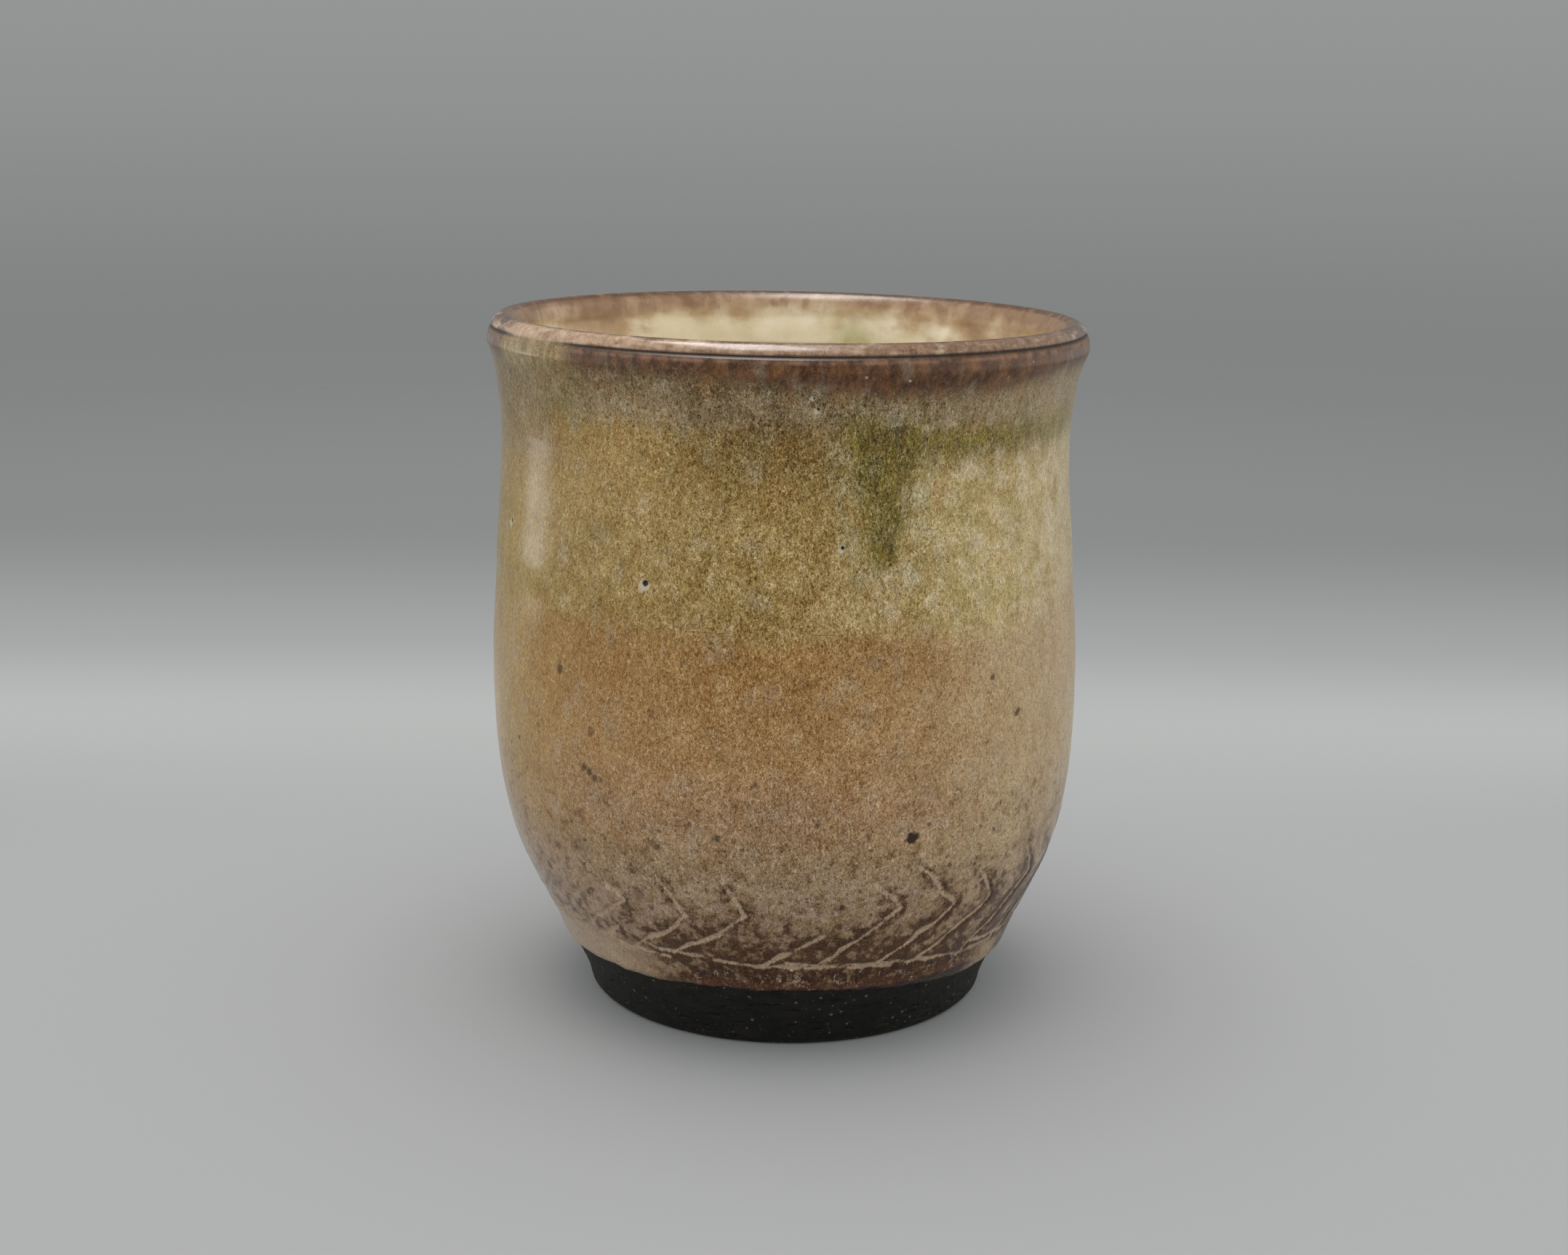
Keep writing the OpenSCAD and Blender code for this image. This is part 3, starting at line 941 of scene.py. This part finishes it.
def bead_paint(m, paint):
    """The pale bead of the lip, brown in streaks, paler to the left partly from paler glaze and partly as
    painted light from the left, with painted shade darkening the groove below it and a painted highlight
    along the line under the groove.
    """
    smear = m.noise(3.2, tall=0.22, detail=4, shift=15)
    blot = m.noise(2.6, tall=0.6, detail=4, shift=19)
    # Paler to the left: partly paler glaze, partly painted light from the left
    bead = m.mix("#bb9c80", "#846750", m.fade(m.x, -32, 26))
    bead = m.mix(bead, "#6b4a34", m.fade(smear, 0.48, 0.72), m.fade(m.wavy_turn, -52, -34), 0.75)
    bead = m.mix(bead, "#cbb498", m.fade(smear, 0.47, 0.27), 0.6)
    bead = m.mix(bead, "#8f6f54", m.fade(blot, 0.5, 0.68), 0.55)
    ends = m.most(m.fade(m.turn, -60, -70), m.fade(m.turn, 60, 72))
    bead = m.mix(bead, "#543722", ends, m.fade(m.shifted(smear, 0.5, blot), 0.28, 0.55), 0.92)
    step = m.math("MULTIPLY", m.math("SUBTRACT", m.needle, 0.5), 0.3)
    step = m.plus(step, m.math("SUBTRACT", m.streak, 0.5), 0.25)
    paint = m.mix(paint, m.shaded(bead, step), m.mark("bead"))
    # Painted highlight: a pinkish line just under the groove
    paint = m.mix(paint, "#a27c64", m.mark("below"), m.fade(m.mottle, 0.35, 0.6), 0.55)
    # Painted shade: the groove darkened to near black
    return m.mix(paint, "#1f140d", m.mark("groove"), 0.9)


def carved_paint(m, paint):
    """Brown stain held by the carved ground, pale lines, and the brown edge over the foot, with a dark line
    at its lower rim that is partly thin brown glaze and partly painted shade under the rolled edge.
    """
    smoke = m.noise(2.6, tall=0.8, detail=2, shift=21)
    patch = m.noise(1.0, detail=2, shift=27)
    level = m.plus(m.z, m.fade(m.wavy_turn, 34, 54), -2.5)
    low = m.fade(m.shifted(level, 7, m.broad), 27, 13)
    middle = m.plus(0.6, m.fade(m.wavy_turn, -44, -16), 0.4)
    middle = m.plus(middle, m.hill(m.wavy_turn, 42, 22), -0.18)
    held = m.product(m.mark("stain"), m.fade(level, 31, 24))
    held = m.product(held, m.plus(0.14, m.fade(m.wavy_turn, 8, 30), 0.09))
    held = m.plus(held, low, 0.23)
    cloudy = m.plus(m.product(smoke, 0.5), patch, 0.5)
    cloudy = m.plus(cloudy, m.math("SUBTRACT", m.fleck, 0.5), 0.35)
    stain = m.fade(m.math("ADD", cloudy, m.product(held, middle)), 0.48, 0.86)
    stain = m.product(stain, m.fade(m.shifted(level, 4, m.cloud), 33, 25))
    clean = m.product(m.fade(m.wavy_turn, -24, -38), m.fade(m.wavy_z, 15.5, 12))
    clean = m.product(clean, m.fade(m.wavy_turn, -86, -62))
    clean = m.most(clean, m.product(m.hill(m.wavy_turn, 57, 12), m.fade(m.wavy_z, 11.8, 9.8)))
    stain = m.product(stain, m.plus(1.0, clean, -0.85))
    front = m.product(m.fade(m.wavy_turn, -27, -17), m.fade(m.wavy_turn, 56, 46))
    edge = m.fade(m.shifted(m.shifted(m.z, 2.0, m.mottle), 1.5, m.fleck), 13.8, 11.0)
    edge = m.product(edge, front)
    sides = m.most(m.fade(m.wavy_turn, -27, -42), m.product(m.fade(m.wavy_turn, 48, 58), 0.3))
    ground = m.fade(m.wavy_z, 29, 20)
    smudge = m.product(m.hill(m.wavy_turn, 0, 16), m.hill(m.wavy_z, 34, 8), 0.4)
    flank = m.product(m.hill(m.wavy_turn, 64, 18), m.hill(m.wavy_z, 27, 9), m.fade(smoke, 0.3, 0.6), 0.5)
    paint = m.mix(paint, "#7d5d3f", smudge)
    paint = m.mix(paint, "#6b4c2a", flank)
    paint = blotch_paint(m, paint)
    paint = m.mix(paint, "#ac917d", m.fade(m.mottle, 0.35, 0.6), ground, 0.7)
    paint = m.mix(paint, "#b7a083", m.fade(m.z, 22, 11), sides, 0.75)
    paint = m.mix(paint, "#5f3f17", stain, 0.95)
    paint = m.mix(paint, "#3e1f00", m.fade(stain, 0.5, 1.0), 0.7)
    paint = m.mix(paint, "#3a1c00", edge, m.fade(m.shifted(patch, 0.5, m.fleck), 0.3, 0.6), 0.95)
    paint = m.mix(paint, "#5a3218", m.fade(m.shifted(m.z, 1.4, m.mottle), 10.8, 9.6), front, 0.7)
    line = m.fade(m.shifted(m.shifted(m.mark("carved"), 0.4, m.mottle), 0.6, m.needle), 0.27, 0.77)
    line = m.product(line, m.fade(m.z, 10, 11.5), m.plus(0.85, m.hill(m.wavy_turn, -52, 22), -0.6))
    paint = m.mix(paint, "#bda386", line)
    fringe = m.product(m.fade(m.needle, 0.53, 0.68), m.fade(m.mottle, 0.48, 0.6), edge)
    paint = m.mix(paint, "#b09a80", fringe, 0.8)
    # The glaze's lower rim: partly thin brown glaze, partly painted shade under the rolled edge
    thin_edge_and_shade = m.fade(m.shifted(m.z, 0.8, m.mottle), 9.3, 8.7)
    return m.mix(paint, "#2b1a0e", thin_edge_and_shade, front, 0.85)


def blotch_paint(m, paint):
    """Soft brown blotches and pinkish pale patches on the lower half of the base coat."""
    blotch = m.noise(2.2, tall=0.75, detail=4, twist=0.6, shift=51)
    where = m.product(m.fade(m.shifted(m.z, 14, m.broad), 43, 29), m.fade(m.z, 12, 18))
    paint = m.mix(paint, "#ab917c", m.fade(blotch, 0.46, 0.3), where, 0.45)
    return m.mix(paint, "#664420", m.fade(blotch, 0.53, 0.68), where, 0.6)


def speck_paint(m, paint):
    """Iron specks in the base coat, the larger the darker, and pinholes."""
    where = m.shifted(m.z, 14, m.broad)
    centred = m.vector("SUBTRACT", m.place, (0.45,) * 3)
    ragged = m.vector("MULTIPLY_ADD", m.noise_colour(0.6), (0.9,) * 3, centred)
    fine = m.product(m.spots(ragged, 1.3, 0.2, 0.75, shift=5), m.fade(where, 44, 30))
    fine = m.product(fine, m.fade(m.mottle, 0.42, 0.52))
    coarse = m.product(m.spots(ragged, 3.4, 0.42, 0.4, shift=9), m.fade(where, 52, 38))
    speck = m.most(coarse, fine)
    paint = m.mix(paint, "#472707", speck, m.fade(m.z, 58, 50), 0.7)
    smear = m.fade(m.fleck, 0.1, 0.35)
    for turn, z, radius in SPECKS:
        smudge = m.dot(turn, z, radius * 1.3, ragged, core=radius - 0.2)
        paint = m.mix(paint, "#2e1600", smudge, smear, radius + 0.2)
    for turn, z, radius in PINHOLES:
        paint = m.mix(paint, "#cfc2a6", m.dot(turn - 0.3, z - radius, radius * 3.0, ragged), 0.75)
        paint = m.mix(paint, "#060403", m.dot(turn, z, radius * 1.5, m.place))
    return paint


def grain_paint(m, paint):
    """Warm and cool clouds, flecks, and a fine crystal grain that is strongest in front."""
    warm = m.noise(2.4, tall=1.5, detail=3, shift=41)
    glaze = m.fade(m.z, 22, 32)
    paint = m.mix(paint, "#9a6621", m.fade(warm, 0.5, 0.75), glaze, 0.28)
    paint = m.mix(paint, "#ada089", m.fade(warm, 0.48, 0.25), glaze, 0.3)
    strong = m.product(
        m.plus(0.6, m.fade(m.z, 12, 30), 0.4),
        m.plus(1.0, m.fade(m.z, 52, 60), 0.15),
        m.plus(0.55, m.hill(m.turn, 0, 75), 0.45),
        m.plus(1.0, m.fade(m.z, 78, 82), -0.2),
        m.plus(1.0, m.band, -0.6),
    )
    step = 0.0
    for wave, depth in ((m.grain, 0.82), (m.needle, 0.2), (m.fleck, 0.14), (m.mottle, 0.08), (m.cloud, 0.18)):
        step = m.math("ADD", step, m.math("MULTIPLY", m.math("SUBTRACT", wave, 0.5), depth))
    return m.shaded(paint, m.product(step, strong))


def inside_paint(m):
    """The inside: cream, browned in patches under the lip, green where it pools."""
    cloud = m.noise(5, detail=3, shift=31)
    patch = m.noise(9, tall=0.5, detail=4, shift=33)
    drip = m.noise(2.2, tall=1.5, detail=4, shift=37)
    paint = m.mix("#efe3c6", "#e3d4ae", m.fade(cloud, 0.35, 0.65))
    green = m.product(m.fade(m.noise(8, tall=1.3, shift=9), 0.54, 0.7), m.fade(m.z, 85, 81))
    paint = m.mix(paint, "#b3aa66", green, 0.7)
    pool = m.product(m.hill(m.shifted(m.x, 8, drip), 9, 6), m.hill(m.shifted(m.z, 6, cloud), 81, 8))
    paint = m.mix(paint, "#a39c4e", m.product(pool, m.fade(m.y, 0, 12)), 0.75)
    low = m.shifted(m.shifted(m.shifted(m.z, 13, patch), 4, cloud), 3, drip)
    low = m.plus(low, m.fade(m.x, 12, 32), 3.2)
    low = m.plus(low, m.fade(m.x, -16, -30), 2.0)
    paint = m.mix(paint, "#ae885a", m.fade(low, 84.6, 88.6), 0.8)
    paint = m.mix(paint, "#b3957c", m.fade(m.shifted(m.z, 2, cloud), 87, 88.6), 0.65)
    paint = m.mix(paint, "#85603f", m.fade(low, 87.6, 91), 0.65)
    crest = m.product(m.fade(drip, 0.46, 0.62), m.fade(m.z, 86.5, 88.5))
    paint = m.mix(paint, "#7d5a38", crest, 0.5)
    paint = m.mix(paint, "#6b4a33", m.fade(m.shifted(m.z, 0.6, drip), 88.7, 89.5), m.fade(m.y, 0, 12), 0.5)
    return m.mix(paint, "#8f8c4a", m.fade(m.z, 17, 11), 0.6)


def liner_glaze_material():
    """The liner: the inside's colours under a soft gloss."""
    m = Finish("liner_glaze")
    grain = m.noise(0.4, detail=2)
    return m.fill(
        Base_Color=inside_paint(m),
        Roughness=m.plus(0.2, grain, 0.15),
        Normal=m.bump(grain, 0.02),
    )


def bare_clay_material():
    """Bare dark clay: matte, with pale grit, and fine tears darkened with painted shade."""
    m = Finish("bare_clay")
    cloud = m.noise(3.0, tall=0.5, detail=4)
    grain = m.noise(0.5, tall=0.6, detail=4, shift=2)
    paint = m.mix("#0c0b07", "#1a1811", m.fade(cloud, 0.35, 0.7))
    paint = m.mix(paint, "#2b2820", m.fade(grain, 0.52, 0.75), 0.6)
    coarse = m.spots(m.place, 1.5, 0.16, 0.55, shift=3)
    fine = m.spots(m.place, 0.7, 0.09, 0.8, shift=8)
    grit = m.most(coarse, m.product(fine, 0.5))
    paint = m.mix(paint, "#8a8578", grit, 0.45)
    # Painted shade: the tears darkened to near black
    paint = m.mix(paint, "#030302", m.mark("tear"), 0.85)
    return m.fill(
        Base_Color=paint,
        Roughness=m.plus(0.5, grain, 0.2),
        Normal=m.bump(grain, 0.06),
        Specular_IOR_Level=0.3,
    )


# Stage, light and camera


def floor():
    """A pale paper floor, painted lighter near the cup to lift the cup's shadow, with a painted band of light
    on the fold behind the cup and painted shade further back. It fades out into the air further off, has a
    hole under the cup that lets light on its underside, and cannot be seen from below."""
    mesh = bpy.data.meshes.new("floor")
    reach = FLOOR_REACH * MM
    corners = [(-reach, -reach), (reach, -reach), (reach, reach), (-reach, reach)]
    mesh.from_pydata([(x, y, -0.02 * MM) for x, y in corners], [], [(0, 1, 2, 3)])
    piece = placed("floor", mesh)
    m = Finish("floor_paper")
    # Painted light: the paper is painted lighter near the cup to lift the cup's shadow
    paint = m.mix("#a7a9a9", "#b0b2b2", m.fade(m.r, 240, 50))
    # Painted light: a band of light on the fold behind the cup
    paint = m.mix(paint, "#b4b6b5", m.hill(m.y, 126, 70))
    # Painted shade: the paper darkens further back
    paint = m.mix(paint, "#888b8a", m.fade(m.y, 130, 330))
    m.fill(Base_Color=paint, Roughness=0.9, Specular_IOR_Level=0.0)
    below = m.node("ShaderNodeNewGeometry").outputs["Backfacing"]
    clear = m.most(below, m.fade(m.r, 300, 1100))
    clear = m.most(clear, m.math("LESS_THAN", m.r, FLOOR_HOLE_R))
    blend = m.node("ShaderNodeMixShader")
    m.put(blend.inputs[0], clear)
    m.put(blend.inputs[1], m.shader.outputs[0])
    m.put(blend.inputs[2], m.node("ShaderNodeBsdfTransparent").outputs[0])
    m.put(m.tree.nodes["Material Output"].inputs["Surface"], blend.outputs[0])
    mesh.materials.append(m.material)


def air():
    """Soft light from all round, more of it from the sides. The picture shows it grey."""
    world = bpy.data.worlds.new("air")
    bpy.context.scene.world = world
    world.use_nodes = True
    m = Nodes(world.node_tree)
    way = m.node("ShaderNodeSeparateXYZ")
    m.put(way.inputs[0], m.node("ShaderNodeTexCoord").outputs["Generated"])
    x, _, z = way.outputs
    sides = m.math("MULTIPLY", m.math("MULTIPLY", x, x), AIR_SIDES)
    light = m.tree.nodes["Background"]
    light.inputs["Color"].default_value = (1, 1, 1, 1)
    m.put(light.inputs["Strength"], m.math("ADD", sides, AIR_EVEN))
    mirrored = m.node("ShaderNodeBackground")
    gleam = m.math("MULTIPLY", m.math("MULTIPLY", x, x), GLEAM_SIDES)
    m.put(mirrored.inputs["Strength"], m.math("ADD", gleam, GLEAM_EVEN))
    mirrored.inputs["Color"].default_value = (1, 1, 1, 1)
    seen = m.node("ShaderNodeBackground")
    m.put(seen.inputs["Color"], m.mix("#7f8281", "#959796", m.fade(z, -0.12, 0.06)))
    path = m.node("ShaderNodeLightPath").outputs
    shown = light
    for ray, other in (("Is Glossy Ray", mirrored), ("Is Camera Ray", seen)):
        pick = m.node("ShaderNodeMixShader")
        m.put(pick.inputs[0], path[ray])
        m.put(pick.inputs[1], shown.outputs[0])
        m.put(pick.inputs[2], other.outputs[0])
        shown = pick
    m.put(m.tree.nodes["World Output"].inputs["Surface"], shown.outputs[0])


def soft_box(name, place, aim, width, height, watts, gleam_only=False):
    """A soft area light at a place in metres, turned towards a point."""
    data = bpy.data.lights.new(name, "AREA")
    data.shape = "RECTANGLE"
    data.size = width
    data.size_y = height
    data.energy = watts
    lamp = placed(name, data)
    lamp.location = place
    lamp.rotation_euler = (Vector(aim) - Vector(place)).to_track_quat("-Z", "Y").to_euler()
    lamp.visible_diffuse = not gleam_only


def lights():
    soft_box("top_light", (-0.06, 0.0, 0.8), (0, 0, 0.05), 0.7, 0.5, TOP_WATTS)
    soft_box("lip_panel", (-0.1, -0.03, 0.75), (0, 0, 0.09), 0.5, 0.3, PANEL_WATTS, gleam_only=True)
    card, aim = (-0.438, 0.168, 0.033), (-0.031, -0.022, 0.068)
    soft_box("side_card", card, aim, 0.12, 0.07, CARD_WATTS, gleam_only=True)


def camera():
    data = bpy.data.cameras.new("camera")
    data.lens = CAMERA_LENS
    data.sensor_width = 36
    data.clip_start = 0.01
    view = placed("camera", data)
    yaw = Matrix.Rotation(math.radians(CAMERA_YAW), 4, "Z")
    pitch = Matrix.Rotation(math.radians(90 - CAMERA_PITCH), 4, "X")
    roll = Matrix.Rotation(math.radians(CAMERA_ROLL), 4, "Z")
    view.matrix_world = Matrix.Translation(CAMERA_PLACE) @ yaw @ pitch @ roll
    bpy.context.scene.camera = view


wall_glaze = wall_glaze_material()
liner_glaze = liner_glaze_material()
bare_clay = bare_clay_material()
foot_piece()
clay_piece()
base_piece()
upper_piece()
rim_piece()
liner_piece()
run_piece()
floor()
air()
lights()
camera()
bpy.context.scene.view_settings.view_transform = "Standard"
